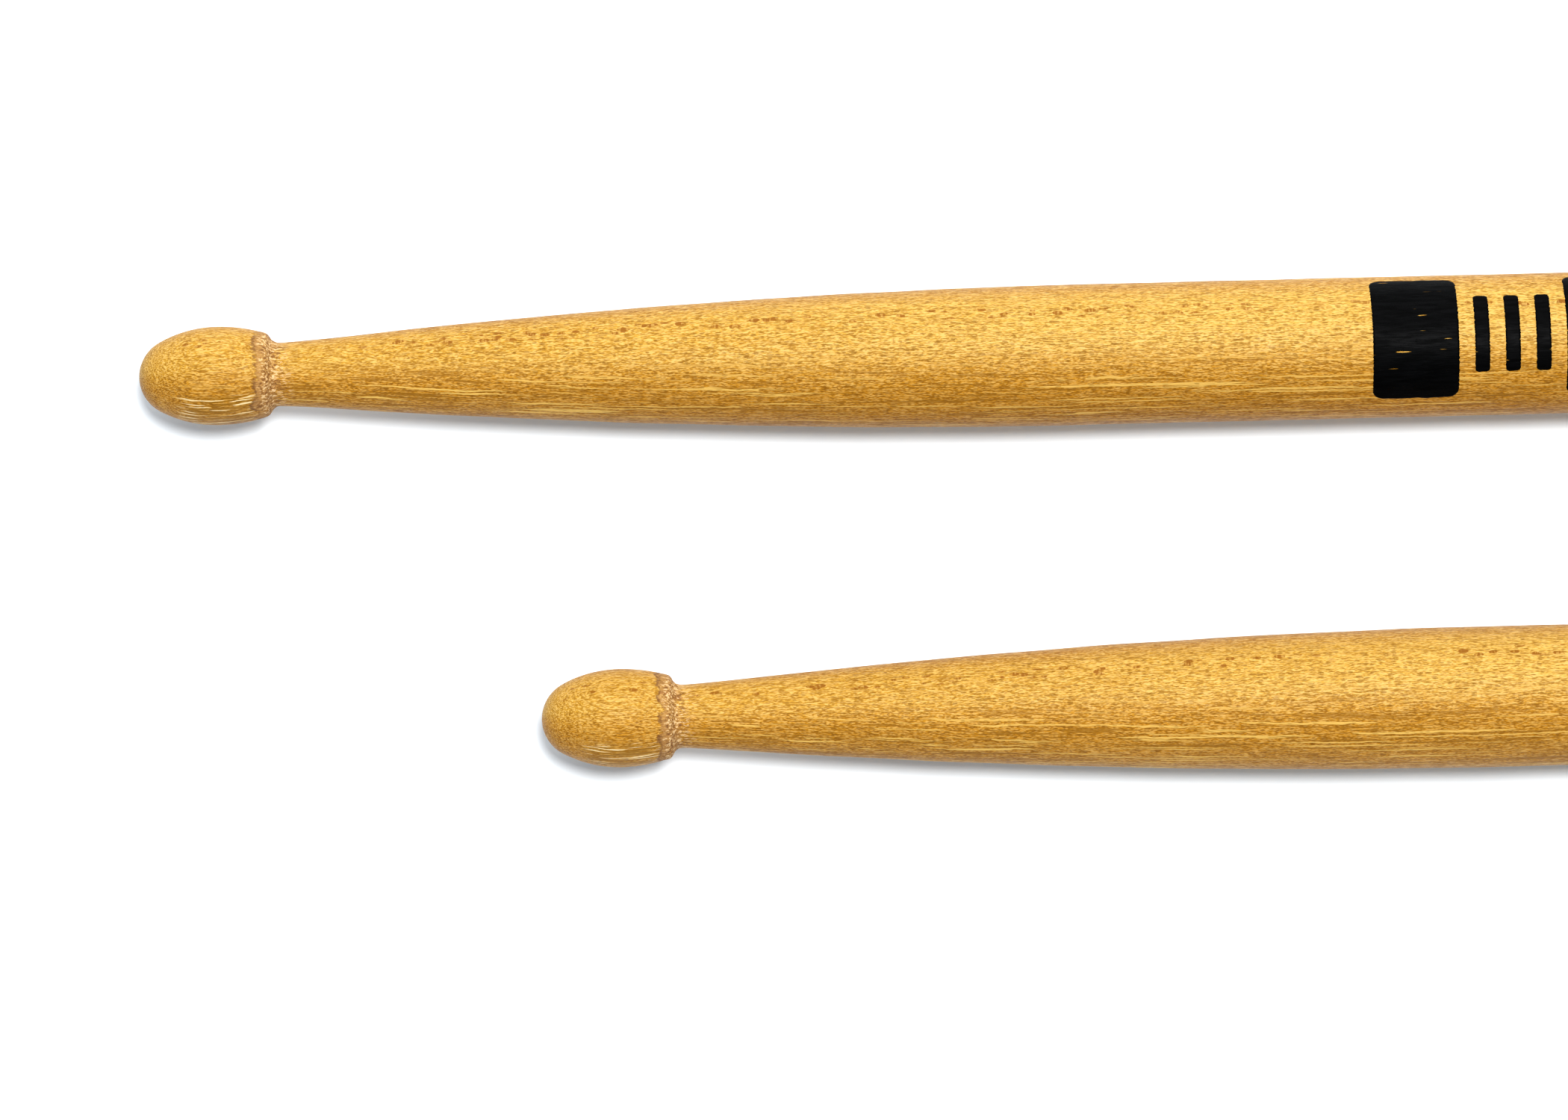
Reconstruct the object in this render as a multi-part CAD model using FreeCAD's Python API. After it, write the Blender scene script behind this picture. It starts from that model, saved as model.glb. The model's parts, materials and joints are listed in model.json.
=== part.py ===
"""A pair of turned hardwood drumsticks lying side by side on a flat surface.

Each stick is one solid of revolution: an oval bead at the tip, a thin neck, a long
shoulder that swells to the straight shaft, and a rounded butt. Millimetres, +Z up.
The tips point to -X and the butts to +X. The origin is under the middle of the pair,
at the height of the surface that the shafts lie on.
"""
import FreeCAD, Part
import math
import os

# Whole stick. Stations are distances from the tip along the stick's axis.
STICK_LENGTH = 406.4
SHAFT_RADIUS = 7.175

# Bead: a round nose, a crown where it is widest, and a rear that narrows slightly
NOSE_RADIUS = 4.0
CROWN_AT = 8.0
CROWN_RADIUS = 5.02
REAR_CURVE_RADIUS = 16.5
REAR_ROUND_AT = 12.85
REAR_ROUND = 0.8

# Step down to the neck: a steep wall that ends in a hollow cove
WALL_ANGLE = math.radians(58)
COVE_RADIUS = 0.9
NECK_RADIUS = 3.24

# Shoulder: the stations of the two control points that shape its curve, and its end
SHOULDER_LEAVES_AT = 18.0
SHOULDER_MEETS_AT = 52.4
SHAFT_STARTS_AT = 97.0

# Butt: a shallow dome with a rounded edge
BUTT_DOME_RADIUS = 18.0
BUTT_EDGE_ROUND = 3.0

# How the pair lies: the lower stick is further towards the butts
SPACING = 35.9
STAGGER = 40.2


def point(station, radius):
    """A point of the outline, at a distance from the tip and from the axis."""
    return FreeCAD.Vector(station, radius, 0)


def lean(angle):
    """The unit direction that leans from straight outwards towards the butt."""
    return FreeCAD.Vector(math.sin(angle), math.cos(angle), 0)


def line(start, end):
    return Part.LineSegment(start, end).toShape()


def arc_about(centre, start, end):
    """The shorter arc of the circle about centre, from start to end."""
    halfway = (start + end) / 2 - centre
    through = centre + halfway.normalize() * (start - centre).Length
    return Part.Arc(start, through, end).toShape()


def bead_outline():
    """Nose arc, side arc tangent to it, then the rear arc, from the tip to its edge round."""
    side_radius = (CROWN_AT ** 2 + CROWN_RADIUS ** 2 - 2 * CROWN_AT * NOSE_RADIUS) / (
        2 * (CROWN_RADIUS - NOSE_RADIUS))
    nose_centre = point(NOSE_RADIUS, 0)
    side_centre = point(CROWN_AT, CROWN_RADIUS - side_radius)
    rear_centre = point(CROWN_AT, CROWN_RADIUS - REAR_CURVE_RADIUS)

    tip = point(0, 0)
    nose_end = nose_centre + (nose_centre - side_centre).normalize() * NOSE_RADIUS
    crown = point(CROWN_AT, CROWN_RADIUS)
    rear_angle = math.asin((REAR_ROUND_AT - CROWN_AT) / REAR_CURVE_RADIUS)
    rear_end = rear_centre + lean(rear_angle) * REAR_CURVE_RADIUS
    edges = [
        arc_about(nose_centre, tip, nose_end),
        arc_about(side_centre, nose_end, crown),
        arc_about(rear_centre, crown, rear_end),
    ]
    return edges, rear_end, rear_angle


def step_outline(rear_end, rear_angle):
    """Edge round, steep wall and cove, each tangent to the next, down to the neck."""
    round_centre = rear_end - lean(rear_angle) * REAR_ROUND
    wall_top = round_centre + lean(WALL_ANGLE) * REAR_ROUND
    wall_foot_radius = NECK_RADIUS + COVE_RADIUS * (1 - math.cos(WALL_ANGLE))
    wall_run = (wall_top.y - wall_foot_radius) / math.tan(WALL_ANGLE)
    wall_foot = point(wall_top.x + wall_run, wall_foot_radius)
    cove_centre = wall_foot + lean(WALL_ANGLE) * COVE_RADIUS
    neck = point(cove_centre.x, NECK_RADIUS)
    edges = [
        arc_about(round_centre, rear_end, wall_top),
        line(wall_top, wall_foot),
        arc_about(cove_centre, wall_foot, neck),
    ]
    return edges, neck


def shoulder_outline(neck, shaft_start):
    """One smooth curve that leaves the neck level and meets the shaft level."""
    curve = Part.BezierCurve()
    curve.setPoles([
        neck,
        point(SHOULDER_LEAVES_AT, NECK_RADIUS),
        point(SHOULDER_MEETS_AT, SHAFT_RADIUS),
        shaft_start,
    ])
    return curve.toShape()


def butt_outline(shaft_start):
    """Straight shaft, edge round and dome, up to the axis."""
    dome_centre = point(STICK_LENGTH - BUTT_DOME_RADIUS, 0)
    round_height = SHAFT_RADIUS - BUTT_EDGE_ROUND
    reach = BUTT_DOME_RADIUS - BUTT_EDGE_ROUND
    round_centre = dome_centre + point(math.sqrt(reach ** 2 - round_height ** 2), round_height)
    shaft_end = point(round_centre.x, SHAFT_RADIUS)
    dome_edge = dome_centre + (round_centre - dome_centre).normalize() * BUTT_DOME_RADIUS
    butt = point(STICK_LENGTH, 0)
    return [
        line(shaft_start, shaft_end),
        arc_about(round_centre, shaft_end, dome_edge),
        arc_about(dome_centre, dome_edge, butt),
    ]


def turned_stick():
    """One whole stick turned about the X axis, tip at the origin, butt towards +X."""
    bead, rear_end, rear_angle = bead_outline()
    step, neck = step_outline(rear_end, rear_angle)
    shaft_start = point(SHAFT_STARTS_AT, SHAFT_RADIUS)
    shoulder = shoulder_outline(neck, shaft_start)
    axis = line(point(STICK_LENGTH, 0), point(0, 0))
    outline = bead + step + [shoulder] + butt_outline(shaft_start) + [axis]
    face = Part.Face(Part.Wire(outline))
    turned = face.revolve(FreeCAD.Vector(0, 0, 0), FreeCAD.Vector(1, 0, 0), 360)
    return turned.Solids[0]


def laid_stick(tip_x, axis_y):
    """A stick lying with its shaft on the surface."""
    stick = turned_stick()
    stick.translate(FreeCAD.Vector(tip_x, axis_y, SHAFT_RADIUS))
    return stick


def main():
    os.makedirs("parts", exist_ok=True)
    half_span = (STICK_LENGTH + STAGGER) / 2
    sticks = {
        "upper_stick": laid_stick(-half_span, SPACING / 2),
        "lower_stick": laid_stick(-half_span + STAGGER, -SPACING / 2),
    }
    for name, stick in sticks.items():
        if not stick.isValid():
            raise ValueError(name + " is not a valid solid")
        stick.exportStep("parts/" + name + ".step")
        print(name, "volume", round(stick.Volume), "mm3, length", round(stick.BoundBox.XLength, 2), "mm")


main()
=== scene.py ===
"""The looks of a pair of turned hardwood drumsticks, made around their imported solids.

Each stick is one turned surface with its own hardwood, and carries a plain black ink
decoration of bars. Shapes are worked out in millimetres, in a stick's own frame: the
station is the distance from the tip along the axis, and the turn is the angle about it.
"""
import json
import math

import bpy
import numpy as np
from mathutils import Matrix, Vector


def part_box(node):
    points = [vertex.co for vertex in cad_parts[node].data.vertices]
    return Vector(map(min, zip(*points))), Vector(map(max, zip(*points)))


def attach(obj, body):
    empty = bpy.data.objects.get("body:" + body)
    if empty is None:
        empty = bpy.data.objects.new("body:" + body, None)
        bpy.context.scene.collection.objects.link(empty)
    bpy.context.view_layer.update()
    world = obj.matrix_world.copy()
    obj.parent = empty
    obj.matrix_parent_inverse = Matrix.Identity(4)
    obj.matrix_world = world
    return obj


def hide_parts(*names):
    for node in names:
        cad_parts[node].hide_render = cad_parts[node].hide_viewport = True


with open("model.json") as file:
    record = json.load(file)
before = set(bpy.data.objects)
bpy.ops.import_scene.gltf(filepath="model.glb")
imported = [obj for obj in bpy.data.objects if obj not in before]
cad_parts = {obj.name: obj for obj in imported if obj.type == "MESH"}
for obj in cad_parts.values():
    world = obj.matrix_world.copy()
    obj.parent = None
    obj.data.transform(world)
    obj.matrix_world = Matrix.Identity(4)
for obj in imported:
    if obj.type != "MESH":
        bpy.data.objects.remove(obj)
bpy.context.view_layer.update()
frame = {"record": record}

MM = 0.001

# Outline of one stick, in millimetres
NOSE_RADIUS = 4.0
CROWN_AT = 8.0
CROWN_RADIUS = 5.02
REAR_CURVE_RADIUS = 16.5
REAR_ROUND_AT = 12.85
REAR_ROUND = 0.8
WALL_ANGLE = math.radians(58)
COVE_RADIUS = 0.9
NECK_RADIUS = 3.24
SHOULDER_LEAVES_AT = 18.0
SHOULDER_MEETS_AT = 52.4
SHAFT_STARTS_AT = 97.0
BUTT_DOME_RADIUS = 18.0
BUTT_EDGE_ROUND = 3.0

# The steep wall and cove behind the bead, where the fibres are torn
TORN_AT = 13.3
TORN_REACH = 1.3
TORN_DEPTH = 0.05

# Slow waver of the whole surface, from hand sanding
WAVER_DEPTH = 0.018
WAVER_SHORTEST = 9.0

# Points of the mesh round a stick
POINTS_AROUND = 200

# Ink decoration: stations in millimetres, and turns measured from straight up
INK_TURN = math.radians(-9)
INK_THICKNESS = 0.03
INK_CORNER = 1.1
INK_RAGGED = 0.03
INK_STARTS_AT = 125.3
WIDE_BAR = 8.7
THIN_BAR = 1.5
BAR_GAP = 1.6
WIDE_BAR_ARC = math.radians(114)
THIN_BAR_ARC = math.radians(66)
WIDE_BARS = 3
THIN_BARS_BETWEEN = 3

# Growth rings: the direction across them, seen along the stick
RING_LEAN = math.radians(36.9)


class Stick:
    """Where one stick lies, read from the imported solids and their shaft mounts."""

    def __init__(self, name, seed):
        low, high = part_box(name)
        mounts = {m["name"]: m for m in frame["record"]["mounts"]}
        shaft = mounts[name + "_shaft"]
        self.name = name
        self.seed = seed
        self.grain_seed = seed * 0.37
        self.tip_x = low.x / MM
        self.length = (high.x - low.x) / MM
        self.axis_y = shaft["pos_m"][1] / MM
        self.axis_z = shaft["pos_m"][2] / MM
        self.shaft_radius = shaft["dims"]["r_mm"]

    def placed(self, station, radius, turn):
        """Points in metres: the turn runs from straight up towards -Y."""
        x = self.tip_x + station
        y = self.axis_y - radius * np.sin(turn)
        z = self.axis_z + radius * np.cos(turn)
        return np.stack([x, y, z], axis=-1) * MM


# ---------------------------------------------------------------- shapes

def lean(angle):
    """Unit direction that leans by the angle from straight outwards towards the butt."""
    return np.stack([np.sin(angle), np.cos(angle)], axis=-1)


def arc(centre, radius, start, end, count):
    """Centre plus radius times the leaning direction, as the angle runs from start to end."""
    return centre + radius * lean(np.linspace(start, end, count))


def straight(start, end, count):
    share = np.linspace(0, 1, count)[:, None]
    return start + (end - start) * share


def bezier(points, count):
    """Cubic Bezier: the four points weighted by the Bernstein polynomials of the share."""
    t = np.linspace(0, 1, count)[:, None]
    a, b, c, d = points
    return (1 - t) ** 3 * a + 3 * (1 - t) ** 2 * t * b + 3 * (1 - t) * t ** 2 * c + t ** 3 * d


def stick_outline(stick):
    """Stations and radii from the tip to the butt, as arcs, lines and one Bezier curve.

    Nose arc, side arc, rear arc, edge round, steep wall, cove, shoulder curve, straight
    shaft, butt edge round and butt dome, each tangent to the next.
    """
    side_radius = (CROWN_AT ** 2 + CROWN_RADIUS ** 2 - 2 * CROWN_AT * NOSE_RADIUS) / (
        2 * (CROWN_RADIUS - NOSE_RADIUS))
    nose_end = -math.asin((CROWN_AT - NOSE_RADIUS) / (side_radius - NOSE_RADIUS))
    rear_angle = math.asin((REAR_ROUND_AT - CROWN_AT) / REAR_CURVE_RADIUS)
    nose = arc(np.array([NOSE_RADIUS, 0]), NOSE_RADIUS, -math.pi / 2, nose_end, 36)
    side = arc(np.array([CROWN_AT, CROWN_RADIUS - side_radius]), side_radius, nose_end, 0, 36)
    rear = arc(np.array([CROWN_AT, CROWN_RADIUS - REAR_CURVE_RADIUS]), REAR_CURVE_RADIUS,
               0, rear_angle, 34)

    round_centre = rear[-1] - REAR_ROUND * lean(rear_angle)
    edge = arc(round_centre, REAR_ROUND, rear_angle, WALL_ANGLE, 8)
    foot_radius = NECK_RADIUS + COVE_RADIUS * (1 - math.cos(WALL_ANGLE))
    wall_run = (edge[-1, 1] - foot_radius) / math.tan(WALL_ANGLE)
    foot = np.array([edge[-1, 0] + wall_run, foot_radius])
    wall = straight(edge[-1], foot, 5)
    cove_centre = foot + COVE_RADIUS * lean(WALL_ANGLE)
    cove = arc(cove_centre, -COVE_RADIUS, WALL_ANGLE, 0, 10)

    shaft_radius = stick.shaft_radius
    shoulder = bezier([
        cove[-1],
        np.array([SHOULDER_LEAVES_AT, NECK_RADIUS]),
        np.array([SHOULDER_MEETS_AT, shaft_radius]),
        np.array([SHAFT_STARTS_AT, shaft_radius]),
    ], 150)

    dome_centre = np.array([stick.length - BUTT_DOME_RADIUS, 0])
    round_height = shaft_radius - BUTT_EDGE_ROUND
    dome_lean = math.acos(round_height / (BUTT_DOME_RADIUS - BUTT_EDGE_ROUND))
    butt_round_centre = dome_centre + (BUTT_DOME_RADIUS - BUTT_EDGE_ROUND) * lean(dome_lean)
    butt_round = arc(butt_round_centre, BUTT_EDGE_ROUND, 0, dome_lean, 16)
    dome = arc(dome_centre, BUTT_DOME_RADIUS, dome_lean, math.pi / 2, 12)
    shaft = straight(shoulder[-1], butt_round[0], 130)

    runs = [nose, side, rear, edge, wall, cove, shoulder, shaft, butt_round, dome]
    outline = np.concatenate([runs[0]] + [run[1:] for run in runs[1:]])
    return outline[:, 0], outline[:, 1]


def ripple(station, turn, seed, count, turns_from, turns_to, shortest):
    """A smooth random height between about -1 and 1 that closes round the stick.

    It is the sum of count cosines of (whole number x turn + rate x station + phase),
    each with a random whole number, rate and phase, divided by the root of their count.
    """
    draw = np.random.default_rng(seed)
    whole = draw.integers(turns_from, turns_to, count)
    rate = draw.uniform(-1, 1, count) * 2 * math.pi / shortest
    phase = draw.uniform(0, 2 * math.pi, count)
    total = np.zeros(np.broadcast(station, turn).shape)
    for n, k, p in zip(whole, rate, phase):
        total += np.cos(n * turn + k * station + p)
    return total / math.sqrt(count)


def waver(station, turn, seed):
    """The slow waver in millimetres: a ripple of 14 waves with up to 3 turns each."""
    return WAVER_DEPTH * ripple(station, turn, seed, 14, 0, 4, WAVER_SHORTEST)


def torn_band(station):
    """1 at the middle of the torn band and 0 outside it: a smooth bump of the station."""
    away = np.clip(np.abs(station - TORN_AT) / TORN_REACH, 0, 1)
    return (1 - away ** 2) ** 2


def turned_relief(station, turn, seed):
    """Height added to the turned outline, in millimetres.

    The slow waver, which fades out over the first 3 mm, plus torn fibres and lumps where
    the tool cut down behind the bead.
    """
    fibres = ripple(station, turn, seed + 1, 40, 25, 80, 1.4)
    lumps = ripple(station, turn, seed + 2, 24, 4, 22, 1.1)
    fades = np.clip(station / 3.0, 0, 1)
    torn = TORN_DEPTH * torn_band(station) * (0.35 * fibres + 0.9 * lumps)
    return waver(station, turn, seed) * fades + torn


def grid_faces(rows, columns, closed):
    """Quads between the points of a grid, row after row, wrapping round if closed."""
    row, column = np.meshgrid(np.arange(rows - 1), np.arange(columns - (not closed)), indexing="ij")
    after = (column + 1) % columns
    quads = np.stack([row * columns + column, row * columns + after,
                      (row + 1) * columns + after, (row + 1) * columns + column], axis=-1)
    return quads.reshape(-1, 4)


def smooth_mesh(name, points, faces, material):
    """An object at the origin from points and a list of face arrays, shaded smooth."""
    mesh = bpy.data.meshes.new(name)
    corners = [tuple(face) for block in faces for face in block.tolist()]
    mesh.from_pydata(points.tolist(), [], corners)
    mesh.polygons.foreach_set("use_smooth", np.ones(len(mesh.polygons), bool))
    mesh.materials.append(material)
    mesh.update()
    made = bpy.data.objects.new(name, mesh)
    bpy.context.scene.collection.objects.link(made)
    return made


def turned_stick(stick, material):
    """The whole stick: the outline carried round the axis, with relief, closed at both ends."""
    station, radius = stick_outline(stick)
    turn = np.arange(POINTS_AROUND) * 2 * math.pi / POINTS_AROUND
    ring_station = station[1:-1, None]
    height = radius[1:-1, None] + turned_relief(ring_station, turn[None, :], stick.seed)
    rings = stick.placed(np.broadcast_to(ring_station, height.shape), height, turn[None, :])
    tip = stick.placed(station[:1], np.zeros(1), np.zeros(1))
    butt = stick.placed(station[-1:], np.zeros(1), np.zeros(1))
    points = np.concatenate([rings.reshape(-1, 3), tip, butt])

    rows = len(station) - 2
    quads = grid_faces(rows, POINTS_AROUND, closed=True)
    here = np.arange(POINTS_AROUND)
    after = (here + 1) % POINTS_AROUND
    last_row = (rows - 1) * POINTS_AROUND
    tip_index = rows * POINTS_AROUND
    tip_fan = np.stack([np.full(POINTS_AROUND, tip_index), after, here], axis=-1)
    butt_fan = np.stack([np.full(POINTS_AROUND, tip_index + 1), last_row + here, last_row + after],
                        axis=-1)
    return smooth_mesh(stick.name + "_turned", points, [quads, tip_fan, butt_fan], material)


def ink_bar(stick, name, start, end, arc_size, material, seed):
    """A thin closed film on the shaft: two curved sheets and the rim that joins them.

    Its ends are the start and end stations plus a fine ripple of the turn, and its sides
    are half the arc each way plus a ripple of the station, as ink breaks over the grain.
    Each corner is a quarter circle: the end draws back by the corner radius times one
    less the root of one less the squared share of the way past the corner's start.
    """
    columns = max(24, int(arc_size * stick.shaft_radius / 0.11))
    rows = max(8, int((end - start) / 0.22))
    share = np.linspace(0, 1, rows)[:, None]
    side = np.linspace(-0.5, 0.5, columns)[None, :]
    turn = INK_TURN + arc_size * side
    half_width = arc_size * stick.shaft_radius / 2
    corner = min(INK_CORNER, (end - start) / 4)
    over = np.clip((np.abs(side) * 2 * half_width - half_width + corner) / corner, 0, 1)
    rounded = corner * (1 - np.sqrt(1 - over ** 2))
    first = start + rounded + INK_RAGGED * ripple(0 * turn, turn, seed, 30, 20, 190, 1.0)
    last = end - rounded + INK_RAGGED * ripple(0 * turn, turn, seed + 1, 30, 20, 190, 1.0)
    station = first + (last - first) * share
    spread = 1 + 0.007 * ripple(station, 0 * station, seed + 2, 16, 0, 1, 1.4)
    turn = INK_TURN + arc_size * side * spread
    floor_radius = stick.shaft_radius + waver(station, turn, stick.seed)
    outer = stick.placed(station, floor_radius + INK_THICKNESS, turn)
    inner = stick.placed(station, floor_radius - INK_THICKNESS, turn)
    points = np.concatenate([outer.reshape(-1, 3), inner.reshape(-1, 3)])

    sheet = grid_faces(rows, columns, closed=False)
    under = sheet[:, ::-1] + rows * columns
    index = np.arange(rows * columns).reshape(rows, columns)
    rim = np.concatenate([index[0, :], index[1:, -1], index[-1, -2::-1], index[-2:0:-1, 0]])
    rim_after = np.roll(rim, -1)
    lower = rows * columns
    wall = np.stack([rim, rim + lower, rim_after + lower, rim_after], axis=-1)
    return smooth_mesh(stick.name + "_" + name, points, [sheet, under, wall], material)


# ---------------------------------------------------------------- node helpers

def node(tree, kind, inputs=None, **settings):
    """Adds a shader node, sets its properties, and gives its inputs values or links."""
    made = tree.nodes.new("ShaderNode" + kind)
    for name, value in settings.items():
        setattr(made, name, value)
    for name, value in (inputs or {}).items():
        connect(tree, made.inputs[name], value)
    return made


def connect(tree, socket, value):
    if isinstance(value, bpy.types.NodeSocket):
        tree.links.new(value, socket)
    else:
        socket.default_value = value


def calc(tree, operation, *values, clamp=False):
    made = node(tree, "Math", dict(enumerate(values)), operation=operation, use_clamp=clamp)
    return made.outputs[0]


def product(tree, first, *others):
    """The product of two or more values."""
    for other in others:
        first = calc(tree, "MULTIPLY", first, other)
    return first


def scaled_plus(tree, value, slope, offset):
    """The value times the slope, plus the offset."""
    return calc(tree, "MULTIPLY_ADD", value, slope, offset)


def blend(tree, factor, first, second):
    """Mixes two colours; a factor of 0 gives the first."""
    made = node(tree, "Mix", {0: factor, 6: first, 7: second}, data_type="RGBA")
    return made.outputs[2]


def rise(tree, value, low, high, to_low=0.0, to_high=1.0):
    """Smooth step of the value, from to_low below low to to_high above high."""
    made = node(tree, "MapRange", {0: value, 1: low, 2: high, 3: to_low, 4: to_high},
                interpolation_type="SMOOTHSTEP")
    return made.outputs[0]


def scaled(tree, vector, size):
    made = node(tree, "VectorMath", {0: vector, 1: size}, operation="MULTIPLY")
    return made.outputs[0]


def noise(tree, vector, size, seed, detail=2.0, rough=0.5):
    """Noise on a vector stretched by size, with the seed as its fourth coordinate."""
    return node(tree, "TexNoise", {"Vector": scaled(tree, vector, size), "W": seed, "Scale": 1.0,
                                   "Detail": detail, "Roughness": rough}, noise_dimensions="4D")


def added(tree, first, second):
    return node(tree, "VectorMath", {0: first, 1: second}, operation="ADD").outputs[0]


def drift(tree, vector, size, seed, reach):
    """A smooth random shift each way, as a vector: the noise colour less a half, times reach."""
    colour = noise(tree, vector, size, seed, 1.0).outputs["Color"]
    centred = node(tree, "VectorMath", {0: colour, 1: (0.5, 0.5, 0.5)}, operation="SUBTRACT")
    return scaled(tree, centred.outputs[0], reach)


def new_group(name, inputs, outputs):
    """An empty node group with named inputs and outputs, its input node and output node."""
    tree = bpy.data.node_groups.new(name, "ShaderNodeTree")
    for socket, kind in inputs:
        tree.interface.new_socket(socket, in_out="INPUT", socket_type="NodeSocket" + kind)
    for socket, kind in outputs:
        tree.interface.new_socket(socket, in_out="OUTPUT", socket_type="NodeSocket" + kind)
    return tree, tree.nodes.new("NodeGroupInput"), tree.nodes.new("NodeGroupOutput")


# ---------------------------------------------------------------- hardwood

GOLD = (0.475, 0.224, 0.011, 1)
PALE_TONE_AND_HIGHLIGHT = (0.56, 0.315, 0.050, 1)
DEEP = (0.235, 0.093, 0.004, 1)
DARK = (0.18, 0.064, 0.002, 1)
BRIGHT = (0.68, 0.43, 0.122, 1)
LIGHT_LINE = (0.76, 0.46, 0.10, 1)
WHITISH = (0.86, 0.66, 0.33, 1)
PORE = (0.225, 0.092, 0.003, 1)
FLECK = (0.235, 0.078, 0.003, 1)
TORN_LINE = (0.150, 0.055, 0.014, 1)
TORN_ROSE = (0.33, 0.165, 0.062, 1)
TORN_PALE = (0.66, 0.43, 0.20, 1)
BROWN = (0.440, 0.160, 0.007, 1)
AMBER_EDGE_SHADE = (0.37, 0.150, 0.008, 1)

# Gaps in millimetres between the fine growth lines, and between the rings on the butt
RING_GAP = 0.26
YEARLY_GAP = 1.5

# The butt's face: it begins, and is complete, this far before the end of the stick
FACE_FROM = 3.8
FACE_FULL = 2.4

# The smallest radius, in millimetres, that a distance across the stick is divided by
NEAR_AXIS = 0.5

# Noise sizes: changes in a millimetre along the grain, across it, and through the rings
WANDER = (0.011, 0.07, 0.07)
WAVES = (0.45, 0.9, 0.9)
SMALL_WAVES = (1.1, 2.0, 2.0)
RING_SHIFT = (0.20, 0.4, 0.4)
DASHES = (0.85, 8.2, 8.2)
WEB = (0.34, 4.4, 4.4)
SPECKS = (2.8, 12.5, 12.5)
STREAKS = (0.055, 1.2, 4.2)
RING_TONE = (0.004, 0.10, 0.85)
SLOW_TONE = (0.03, 0.18, 0.18)
LINE_GAPS = (0.75, 2.2, 2.2)
PORE_CELLS = (1.3, 7.4, 7.4)
FLECK_CELLS = (0.75, 1.7, 0.0)
FLECK_BARS = (4.2, 1.0, 1.0)
FLECK_STRETCHES = (0.030, 0.0, 0.0)
LIFTED_FIBRES = (0.18, 0.9, 4.8)
TORN_FINE = (1.8, 5.0, 5.0)
TORN_BROAD = (0.5, 0.8, 0.8)
TORN_ENDS = (1.5, 4.4, 4.4)

# Depth of the bump, and how much light the bare wood and the ink mirror
WOOD_BUMP = 0.045
WOOD_SHINE = 0.09
INK_BLACK = (0.0002, 0.0002, 0.0002, 1)
INK_WORN = (0.0012, 0.0012, 0.0013, 1)
INK_BUMP = 0.015
INK_SHINE = 0.018


class Grain:
    """Where a point lies in the wood, in millimetres, and the patterns that layers share.

    wavy: the point in the wood's own directions, which are along the stick, across the
    rings' crown and through the rings, shifted by a slow drift, waves and small waves.
    steady: the same without the waves. quarter: 1 where the surface cuts straight through
    the rings, a smooth step of the distance across the crown over the radius, and weaker
    on the butt's face. flat: 1 less quarter. growth: the sine of (2 pi x depth / gap +
    11 x a slow noise). ringed: how far growth shifts the dashes, more towards the tip.
    """

    def __init__(self, tree, point, seed, stick_length):
        self.tree, self.point, self.seed = tree, point, seed
        wandered = added(tree, point, drift(tree, point, WANDER, seed, (0, 2.6, 2.6)))
        waved = added(tree, wandered, drift(tree, point, WAVES, seed, (0, 0.32, 0.32)))
        small_waves = drift(tree, point, SMALL_WAVES, seed, (0, 0.08, 0.08))
        self.wavy = turned_to_rings(tree, added(tree, waved, small_waves))
        self.steady = turned_to_rings(tree, added(tree, wandered, small_waves))
        self.along, self.side, self.up_rings = node(tree, "SeparateXYZ", {0: self.wavy}).outputs
        self.station = node(tree, "SeparateXYZ", {0: point}).outputs[0]
        across = scaled(tree, point, (0, 1, 1))
        self.radius = node(tree, "VectorMath", {0: across}, operation="LENGTH").outputs["Value"]
        self.safe_radius = calc(tree, "MAXIMUM", self.radius, NEAR_AXIS)

        self.side_size = calc(tree, "ABSOLUTE", self.side)
        self.end_face = rise(tree, self.station, stick_length - FACE_FROM, stick_length - FACE_FULL)
        quarter = rise(tree, calc(tree, "DIVIDE", self.side_size, self.safe_radius), 0.42, 0.96)
        self.quarter = product(tree, quarter, scaled_plus(tree, self.end_face, -0.85, 1.0))
        self.flat = calc(tree, "SUBTRACT", 1.0, self.quarter)

        self.depth = node(tree, "SeparateXYZ", {0: self.steady}).outputs[2]
        self.shift = self.noise(RING_SHIFT, 1.0)
        phase = scaled_plus(tree, self.depth, 2 * math.pi / RING_GAP, product(tree, self.shift, 11.0))
        self.growth = calc(tree, "SINE", phase)
        self.ringed = rise(tree, self.station, 45.0, 20.0, -0.008, -0.036)
        self.dash = scaled_plus(tree, self.growth, self.ringed, self.noise(DASHES, 0.0))
        self.speck = self.noise(SPECKS, 0.0)
        self.streak = self.noise(STREAKS, 0.8)

    def noise(self, size, detail, rough=0.5):
        """Noise in the wood's own directions, with all of the grain's waves."""
        return noise(self.tree, self.wavy, size, self.seed, detail, rough).outputs[0]

    def near(self, low, high, to_low=0.0, to_high=1.0):
        """Smooth step of the station along the stick."""
        return rise(self.tree, self.station, low, high, to_low, to_high)

    def cells(self, vector, size):
        """Voronoi cells: the distance to the nearest point, and that cell's random colour."""
        made = node(self.tree, "TexVoronoi", {"Vector": scaled(self.tree, vector, size), "W": self.seed,
                                              "Scale": 1.0}, voronoi_dimensions="4D", feature="F1")
        return made.outputs["Distance"], node(self.tree, "SeparateColor", {0: made.outputs["Color"]}).outputs


def turned_to_rings(tree, vector):
    return node(tree, "VectorRotate", {"Vector": vector, "Axis": (1, 0, 0), "Angle": RING_LEAN},
                rotation_type="AXIS_ANGLE").outputs[0]


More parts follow.
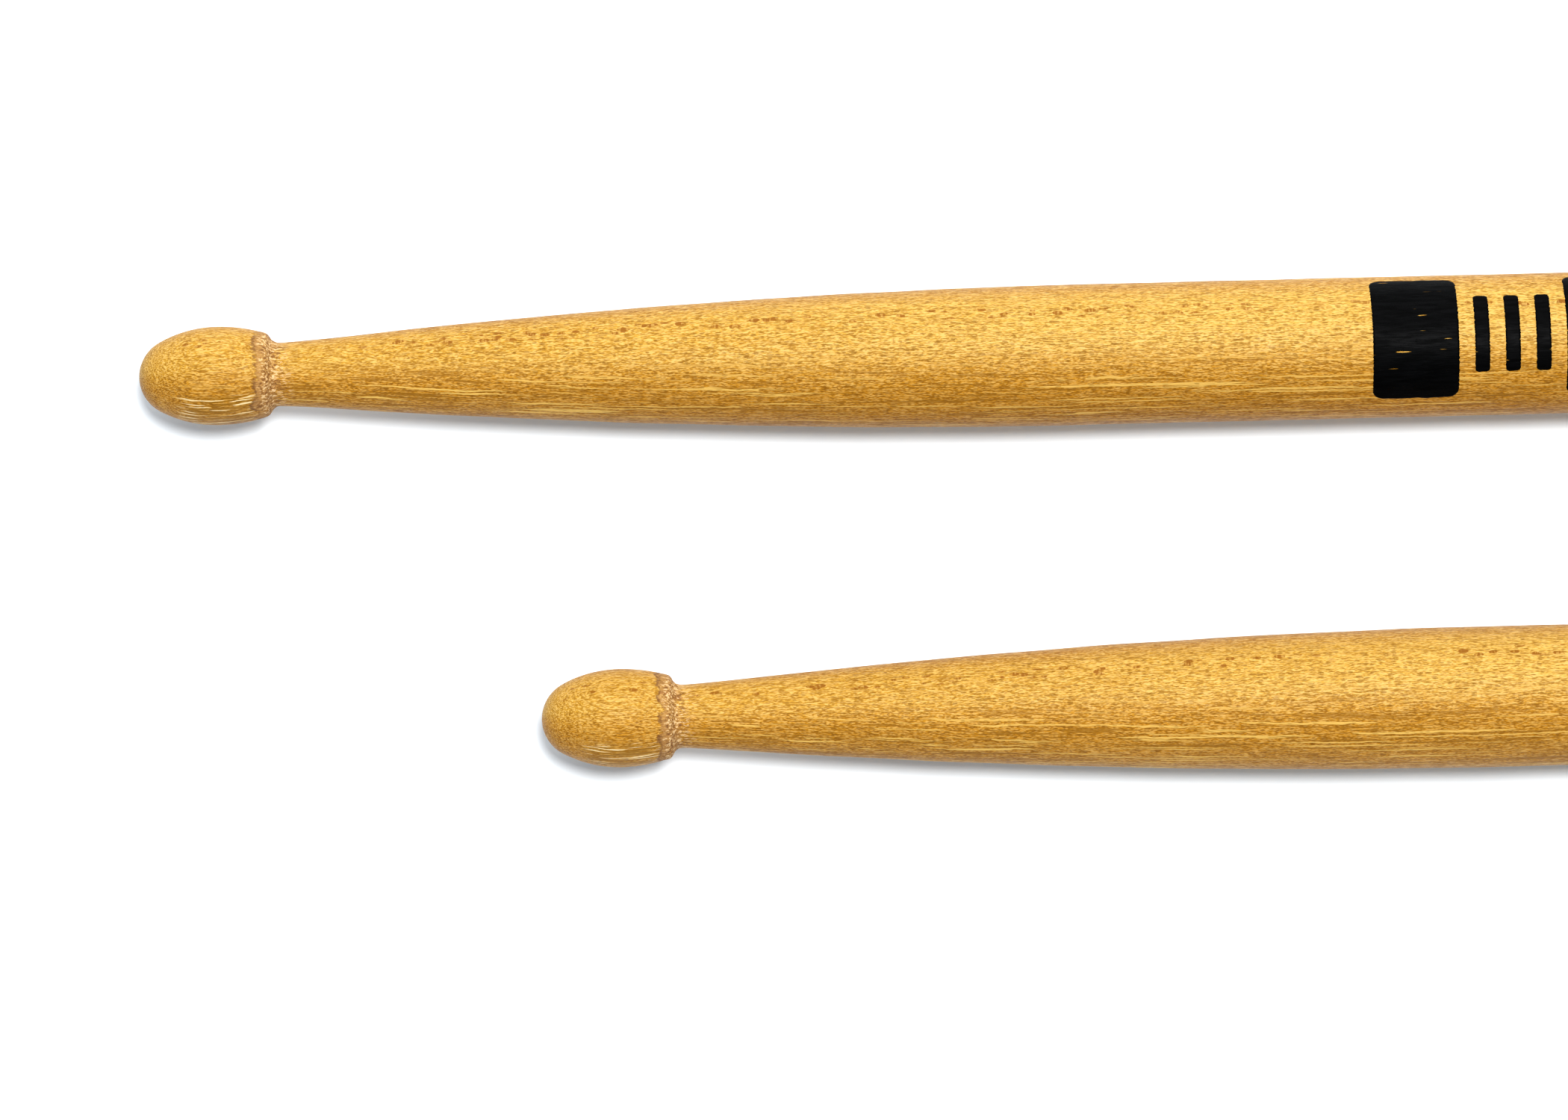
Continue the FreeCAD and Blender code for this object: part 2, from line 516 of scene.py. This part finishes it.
def ground_colour(wood):
    """Golden at the tip end and paler towards the shaft, brown on the quarter face; the paler flat face is
    partly the wood's own tone and partly a painted highlight.

    Painted shade: the flank on the +Y side, the upper edge seen from overhead, is made darker amber, by the
    signed distance across the crown over the radius, weaker at the tip end.
    """
    tree = wood.tree
    slow = scaled_plus(tree, wood.noise(SLOW_TONE, 1.0), 40.0, wood.along)
    shaft = rise(tree, slow, 45.0, 135.0, 0.32, 0.95)
    # Partly the wood's own tone and partly a painted highlight: the flat face, which looks up towards the
    # lamps, is made paler towards the shaft
    colour = blend(tree, product(tree, wood.flat, wood.flat, shaft), GOLD, PALE_TONE_AND_HIGHLIGHT)
    colour = blend(tree, product(tree, wood.quarter, 0.62), colour, BROWN)
    colour = blend(tree, rise(tree, wood.noise(RING_TONE, 2.0), 0.56, 0.40, 0.0, 0.08), colour, DEEP)
    # Painted shade: the +Y flank of the stick, its upper edge from overhead, is darkened with amber
    painted_edge_shade = rise(tree, calc(tree, "DIVIDE", wood.side, wood.safe_radius), 0.15, 0.55)
    return blend(tree, product(tree, painted_edge_shade, wood.near(5.0, 30.0, 0.35, 0.75)), colour, AMBER_EDGE_SHADE)


def fibre_dashes(wood, colour):
    """Bright and dark dashes and specks of the fibre ends, and a fine web of dark lines.

    A web line is where (a noise less a half, plus growth x 0.6 x ringed) is near 0.
    """
    tree = wood.tree
    dark = scaled_plus(tree, wood.quarter, 0.24, 0.44)
    bright = scaled_plus(tree, wood.quarter, -0.45, 1.0)
    colour = blend(tree, product(tree, rise(tree, wood.dash, 0.56, 0.60, 0.0, 0.50), bright), colour, BRIGHT)
    colour = blend(tree, product(tree, rise(tree, wood.dash, 0.425, 0.385), dark), colour, DARK)
    colour = blend(tree, product(tree, rise(tree, wood.speck, 0.56, 0.61, 0.0, 0.46), bright), colour, BRIGHT)
    colour = blend(tree, product(tree, rise(tree, wood.speck, 0.43, 0.385), dark), colour, DARK)

    centred = calc(tree, "SUBTRACT", wood.noise(WEB, 0.0), 0.5)
    web = scaled_plus(tree, wood.growth, product(tree, wood.ringed, 0.6), centred)
    line = rise(tree, calc(tree, "ABSOLUTE", web), 0.030, 0.015)
    share = product(tree, wood.near(75.0, 30.0, 0.45, 1.0), scaled_plus(tree, wood.quarter, 0.30, 0.50))
    broken = product(tree, rise(tree, wood.speck, 0.60, 0.48), share)
    return blend(tree, product(tree, line, broken), colour, DARK)


def growth_lines(wood, colour):
    """Thin lines at the crests of growth, broken along the stick and clearest at the tip."""
    tree = wood.tree
    unbroken = rise(tree, wood.noise(LINE_GAPS, 0.0), 0.42, 0.52)
    line = product(tree, rise(tree, wood.growth, 0.62, 0.88), unbroken)
    return blend(tree, product(tree, line, wood.near(60.0, 25.0, 0.10, 0.34)), colour, DEEP)


def yearly_rings(wood, colour):
    """Dark arcs on the butt's face: the sine of (2 pi x depth / gap + 5 x a slow noise)."""
    tree = wood.tree
    phase = scaled_plus(tree, wood.depth, 2 * math.pi / YEARLY_GAP, product(tree, wood.shift, 5.0))
    arcs = rise(tree, calc(tree, "SINE", phase), 0.40, 0.98, 0.0, 0.60)
    return blend(tree, product(tree, arcs, wood.end_face), colour, DEEP)


def long_lines(wood, colour):
    """Long dark lines, and light ones with a dark border, strongest on the quarter face."""
    tree = wood.tree
    share = product(tree, wood.near(13.0, 18.0, 0.25, 1.0), scaled_plus(tree, wood.quarter, 0.72, 0.12))
    share = product(tree, share, wood.near(60.0, 30.0, 0.90, 1.0))
    for low, high, line in ((0.40, 0.365, DEEP), (0.600, 0.612, DEEP), (0.622, 0.636, LIGHT_LINE)):
        colour = blend(tree, product(tree, rise(tree, wood.streak, low, high), share), colour, line)
    return colour


def pore_mask(wood):
    """Short slots where a chosen cell's point is near, more of them where the rings lie flat."""
    tree = wood.tree
    distance, chance = wood.cells(wood.steady, PORE_CELLS)
    slot = product(tree, rise(tree, distance, 0.46, 0.38), rise(tree, chance[0], 0.42, 0.46))
    share = product(tree, scaled_plus(tree, wood.flat, 0.45, 0.55), wood.near(14.0, 40.0, 0.30, 0.90))
    return product(tree, slot, share)


def brown_flecks(wood, colour):
    """Flecks in short bars, in one row along the crown of the outermost ring."""
    tree = wood.tree
    row = product(tree, rise(tree, wood.side_size, 0.75, 0.50), rise(tree, wood.up_rings, 1.5, 3.0))
    distance, chance = wood.cells(wood.wavy, FLECK_CELLS)
    bars = noise(tree, wood.steady, FLECK_BARS, wood.seed, 0.0).outputs[0]
    fleck = product(
        tree, row,
        rise(tree, distance, 0.48, 0.40),
        rise(tree, chance[1], 0.22, 0.26),
        rise(tree, bars, 0.40, 0.52, 0.45, 1.0),
        rise(tree, wood.noise(FLECK_STRETCHES, 0.0), 0.25, 0.38))
    return blend(tree, product(tree, fleck, 0.95), colour, FLECK)


def lifted_fibres(wood, colour):
    """Dark and whitish fibres that stand up from the bead on its lower quarter face."""
    tree = wood.tree
    on_bead = product(tree, wood.near(3.6, 5.6), wood.near(12.6, 11.2))
    low = rise(tree, calc(tree, "DIVIDE", wood.side, wood.radius), -0.88, -0.95)
    lifted = product(tree, on_bead, low)
    fibre = wood.noise(LIFTED_FIBRES, 1.0)
    colour = blend(tree, product(tree, lifted, rise(tree, fibre, 0.49, 0.44, 0.0, 0.75)), colour, PORE)
    return blend(tree, product(tree, lifted, rise(tree, fibre, 0.57, 0.61, 0.0, 0.9)), colour, WHITISH)


def torn_fibres(wood, colour):
    """Rosy torn wood behind the bead, with a brown line on the bead's rear edge.

    The station is made ragged by a fine noise plus 1.9 times a broad one, less 1.6.
    Gives the colour, the fine noise and the mask of the torn wood.
    """
    tree, point, seed = wood.tree, wood.point, wood.seed
    fine = noise(tree, point, TORN_FINE, seed, 2.0, 0.6).outputs[0]
    broad = noise(tree, point, TORN_BROAD, seed, 1.0).outputs[0]
    ragged = calc(tree, "ADD", fine, scaled_plus(tree, broad, 1.9, -1.60))
    at = calc(tree, "ADD", wood.station, ragged)

    torn = product(tree, rise(tree, at, 11.8, 12.0), rise(tree, at, 14.6, 13.4))
    colour = blend(tree, product(tree, torn, 0.58), colour, TORN_ROSE)
    line = product(tree, rise(tree, at, 11.65, 11.80), rise(tree, at, 12.2, 11.95),
                   rise(tree, broad, 0.38, 0.50, 0.15, 1.0))
    colour = blend(tree, product(tree, line, 0.72), colour, TORN_LINE)

    ends = noise(tree, point, TORN_ENDS, seed, 2.5, 0.65).outputs[0]
    near = product(tree, rise(tree, at, 12.1, 12.5), rise(tree, at, 16.0, 13.6))
    colour = blend(tree, product(tree, near, rise(tree, ends, 0.46, 0.42, 0.0, 0.9)), colour, TORN_LINE)
    colour = blend(tree, product(tree, near, rise(tree, ends, 0.55, 0.58)), colour, TORN_PALE)
    return colour, fine, torn


def hardwood_group(stick_length):
    """Colour, roughness and height of the wood from a point in the stick's own frame.

    Height is the dashes, plus 0.35 of the specks and 0.8 of the streaks on the quarter
    face, less 0.8 of the pores, plus 2 times the fine noise where the wood is torn.
    """
    tree, given, result = new_group(
        "hardwood_grain", [("Point", "Vector"), ("Seed", "Float")],
        [("Color", "Color"), ("Roughness", "Float"), ("Height", "Float")])
    wood = Grain(tree, given.outputs["Point"], given.outputs["Seed"], stick_length)

    colour = ground_colour(wood)
    for layer in (fibre_dashes, growth_lines, yearly_rings, long_lines):
        colour = layer(wood, colour)
    pore = pore_mask(wood)
    colour = blend(tree, product(tree, pore, 0.72), colour, PORE)
    for layer in (brown_flecks, lifted_fibres):
        colour = layer(wood, colour)
    colour, fine, torn = torn_fibres(wood, colour)

    height = scaled_plus(tree, wood.speck, 0.35, wood.dash)
    height = scaled_plus(tree, pore, -0.8, height)
    height = scaled_plus(tree, product(tree, wood.streak, wood.quarter), 0.8, height)
    height = scaled_plus(tree, product(tree, fine, torn), 2.0, height)
    smooth = rise(tree, wood.dash, 0.35, 0.65, 0.58, 0.42)
    rough = calc(tree, "MULTIPLY_ADD", torn, 0.2, smooth, clamp=True)

    for name, value in (("Color", colour), ("Roughness", rough), ("Height", height)):
        connect(tree, result.inputs[name], value)
    return tree


def stick_point(tree, stick):
    """The shaded point in millimetres, from the stick's tip and axis."""
    place = node(tree, "TexCoord").outputs["Object"]
    corner = (-stick.tip_x, -stick.axis_y, -stick.axis_z)
    return node(tree, "Mapping", {"Vector": place, "Location": corner,
                                  "Scale": (1 / MM, 1 / MM, 1 / MM)}).outputs[0]


def new_material(name):
    material = bpy.data.materials.new(name)
    material.use_nodes = True
    material.node_tree.nodes.clear()
    return material, material.node_tree


def finish_surface(tree, colour, rough, height, depth, specular):
    """One Principled surface with a bump, wired to the material's output."""
    bump = node(tree, "Bump", {"Height": height, "Distance": depth, "Strength": 1.0})
    surface = node(tree, "BsdfPrincipled", {
        "Base Color": colour, "Roughness": rough, "Normal": bump.outputs[0],
        "Specular IOR Level": specular})
    output = node(tree, "OutputMaterial")
    tree.links.new(surface.outputs[0], output.inputs["Surface"])


def hardwood(stick, group):
    material, tree = new_material("hardwood_" + stick.name)
    grain = node(tree, "Group", node_tree=group)
    connect(tree, grain.inputs["Point"], stick_point(tree, stick))
    connect(tree, grain.inputs["Seed"], stick.grain_seed)
    finish_surface(tree, grain.outputs["Color"], grain.outputs["Roughness"],
                   grain.outputs["Height"], WOOD_BUMP * MM, WOOD_SHINE)
    return material


def printed_ink(stick, group):
    """Black ink with the wood showing through thin scratches along the grain."""
    material, tree = new_material("printed_ink_" + stick.name)
    point = stick_point(tree, stick)
    grain = node(tree, "Group", {"Point": point, "Seed": stick.grain_seed}, node_tree=group)
    scratch = noise(tree, point, (0.24, 3.4, 3.4), stick.seed + 3.0, 1.6, 0.5).outputs[0]
    worn = rise(tree, scratch, 0.70, 0.73)
    shade = noise(tree, point, (0.4, 3.0, 3.0), stick.seed + 5.0, 2.0, 0.6).outputs[0]
    black = blend(tree, rise(tree, shade, 0.35, 0.7), INK_BLACK, INK_WORN)
    colour = blend(tree, worn, black, grain.outputs["Color"])
    finish_surface(tree, colour, rise(tree, shade, 0.3, 0.7, 0.55, 0.42), grain.outputs["Height"],
                   INK_BUMP * MM, INK_SHINE)
    return material


# ---------------------------------------------------------------- studio

# Floor, with its reach and the distances at which it starts to glow, in metres
FLOOR_REACH = 8.0
FLOOR_WHITE = (0.90, 0.93, 0.95, 1)
GLOW_FROM = 0.35
GLOW_FULL = 1.1
WORLD_GLOW = (0.352, 0.415, 0.490, 1)
SEEN_WHITE = (1.05, 1.05, 1.05, 1)

# The picture: its width, and its middle from the upper stick's tip, in millimetres
VIEW_WIDTH = 160.0
VIEW_OFFSET = (65.3, -20.2)
VIEW_ROLL = math.radians(-1.41)
LENS = 150.0


def studio_floor():
    """A large white floor, which glows white far from the sticks.

    The glow is a smooth step of the distance in metres from the middle of the pair.
    """
    corners = FLOOR_REACH * np.array([(-1, -1, 0), (1, -1, 0), (1, 1, 0), (-1, 1, 0)], float)
    material, tree = new_material("white_floor")
    place = node(tree, "TexCoord").outputs["Object"]
    away = node(tree, "VectorMath", {0: place}, operation="LENGTH").outputs["Value"]
    surface = node(tree, "BsdfPrincipled", {
        "Base Color": FLOOR_WHITE, "Roughness": 0.9, "Specular IOR Level": 0.0,
        "Emission Color": rise(tree, away, GLOW_FROM, GLOW_FULL), "Emission Strength": 1.0})
    tree.links.new(surface.outputs[0], node(tree, "OutputMaterial").inputs["Surface"])
    floor = smooth_mesh("floor", corners, [np.array([[0, 1, 2, 3]])], material)


def soft_light(name, azimuth, elevation, distance, size, power):
    """A round soft box that points at the sticks; azimuth 0 is +X and 90 is +Y, in degrees."""
    a, e = math.radians(azimuth), math.radians(elevation)
    lamp = bpy.data.lights.new(name, "AREA")
    lamp.shape = "DISK"
    lamp.size = size
    lamp.energy = power
    made = bpy.data.objects.new(name, lamp)
    away = np.array([math.cos(a) * math.cos(e), math.sin(a) * math.cos(e), math.sin(e)])
    made.location = away * distance
    made.rotation_mode = "QUATERNION"
    made.rotation_quaternion = Vector(away).to_track_quat("Z", "Y")
    made.visible_camera = False
    bpy.context.scene.collection.objects.link(made)


def pale_world():
    """Even light from all sides, which the camera itself sees as white."""
    world = bpy.data.worlds.new("studio")
    world.use_nodes = True
    tree = world.node_tree
    tree.nodes.clear()
    seen = node(tree, "LightPath").outputs["Is Camera Ray"]
    colour = blend(tree, seen, WORLD_GLOW, SEEN_WHITE)
    back = node(tree, "Background", {"Color": colour, "Strength": 1.0})
    tree.links.new(back.outputs[0], node(tree, "OutputWorld").inputs["Surface"])
    bpy.context.scene.world = world


def overhead_camera(stick):
    """Looks straight down at the tips, with the sticks turned slightly in the view."""
    width = VIEW_WIDTH * MM
    lens = bpy.data.cameras.new("camera")
    lens.lens = LENS
    lens.sensor_width = 36.0
    camera = bpy.data.objects.new("camera", lens)
    centre_x = (stick.tip_x + VIEW_OFFSET[0]) * MM
    centre_y = (stick.axis_y + VIEW_OFFSET[1]) * MM
    height = width * LENS / lens.sensor_width
    camera.location = (centre_x, centre_y, stick.axis_z * MM + height)
    camera.rotation_euler = (0, 0, VIEW_ROLL)
    bpy.context.scene.collection.objects.link(camera)
    bpy.context.scene.camera = camera


# ---------------------------------------------------------------- assembly

def decorate(stick, material):
    """Wide bars of ink along the shaft, with thin ones between them."""
    wide, thin = ("wide", WIDE_BAR, WIDE_BAR_ARC), ("thin", THIN_BAR, THIN_BAR_ARC)
    kinds = ([wide] + [thin] * THIN_BARS_BETWEEN) * (WIDE_BARS - 1) + [wide]
    start = INK_STARTS_AT
    for number, (kind, width, size) in enumerate(kinds):
        name = f"ink_{kind}_bar_{number + 1}"
        seed = stick.seed * 100 + number * 3
        bar = ink_bar(stick, name, start, start + width, size, material, seed)
        start += width + BAR_GAP
        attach(bar, stick.name)


def build_stick(stick, group):
    wood = turned_stick(stick, hardwood(stick, group))
    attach(wood, stick.name)
    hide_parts(stick.name)
    decorate(stick, printed_ink(stick, group))


upper = Stick("upper_stick", seed=3)
lower = Stick("lower_stick", seed=8)
grain_group = hardwood_group(upper.length)
for each in (upper, lower):
    build_stick(each, grain_group)

studio_floor()
pale_world()
soft_light("key_light", azimuth=90, elevation=80, distance=1.3, size=0.35, power=22.0)
soft_light("side_light", azimuth=90, elevation=30, distance=1.3, size=0.9, power=9.2)
overhead_camera(upper)
bpy.context.scene.view_settings.view_transform = "Standard"
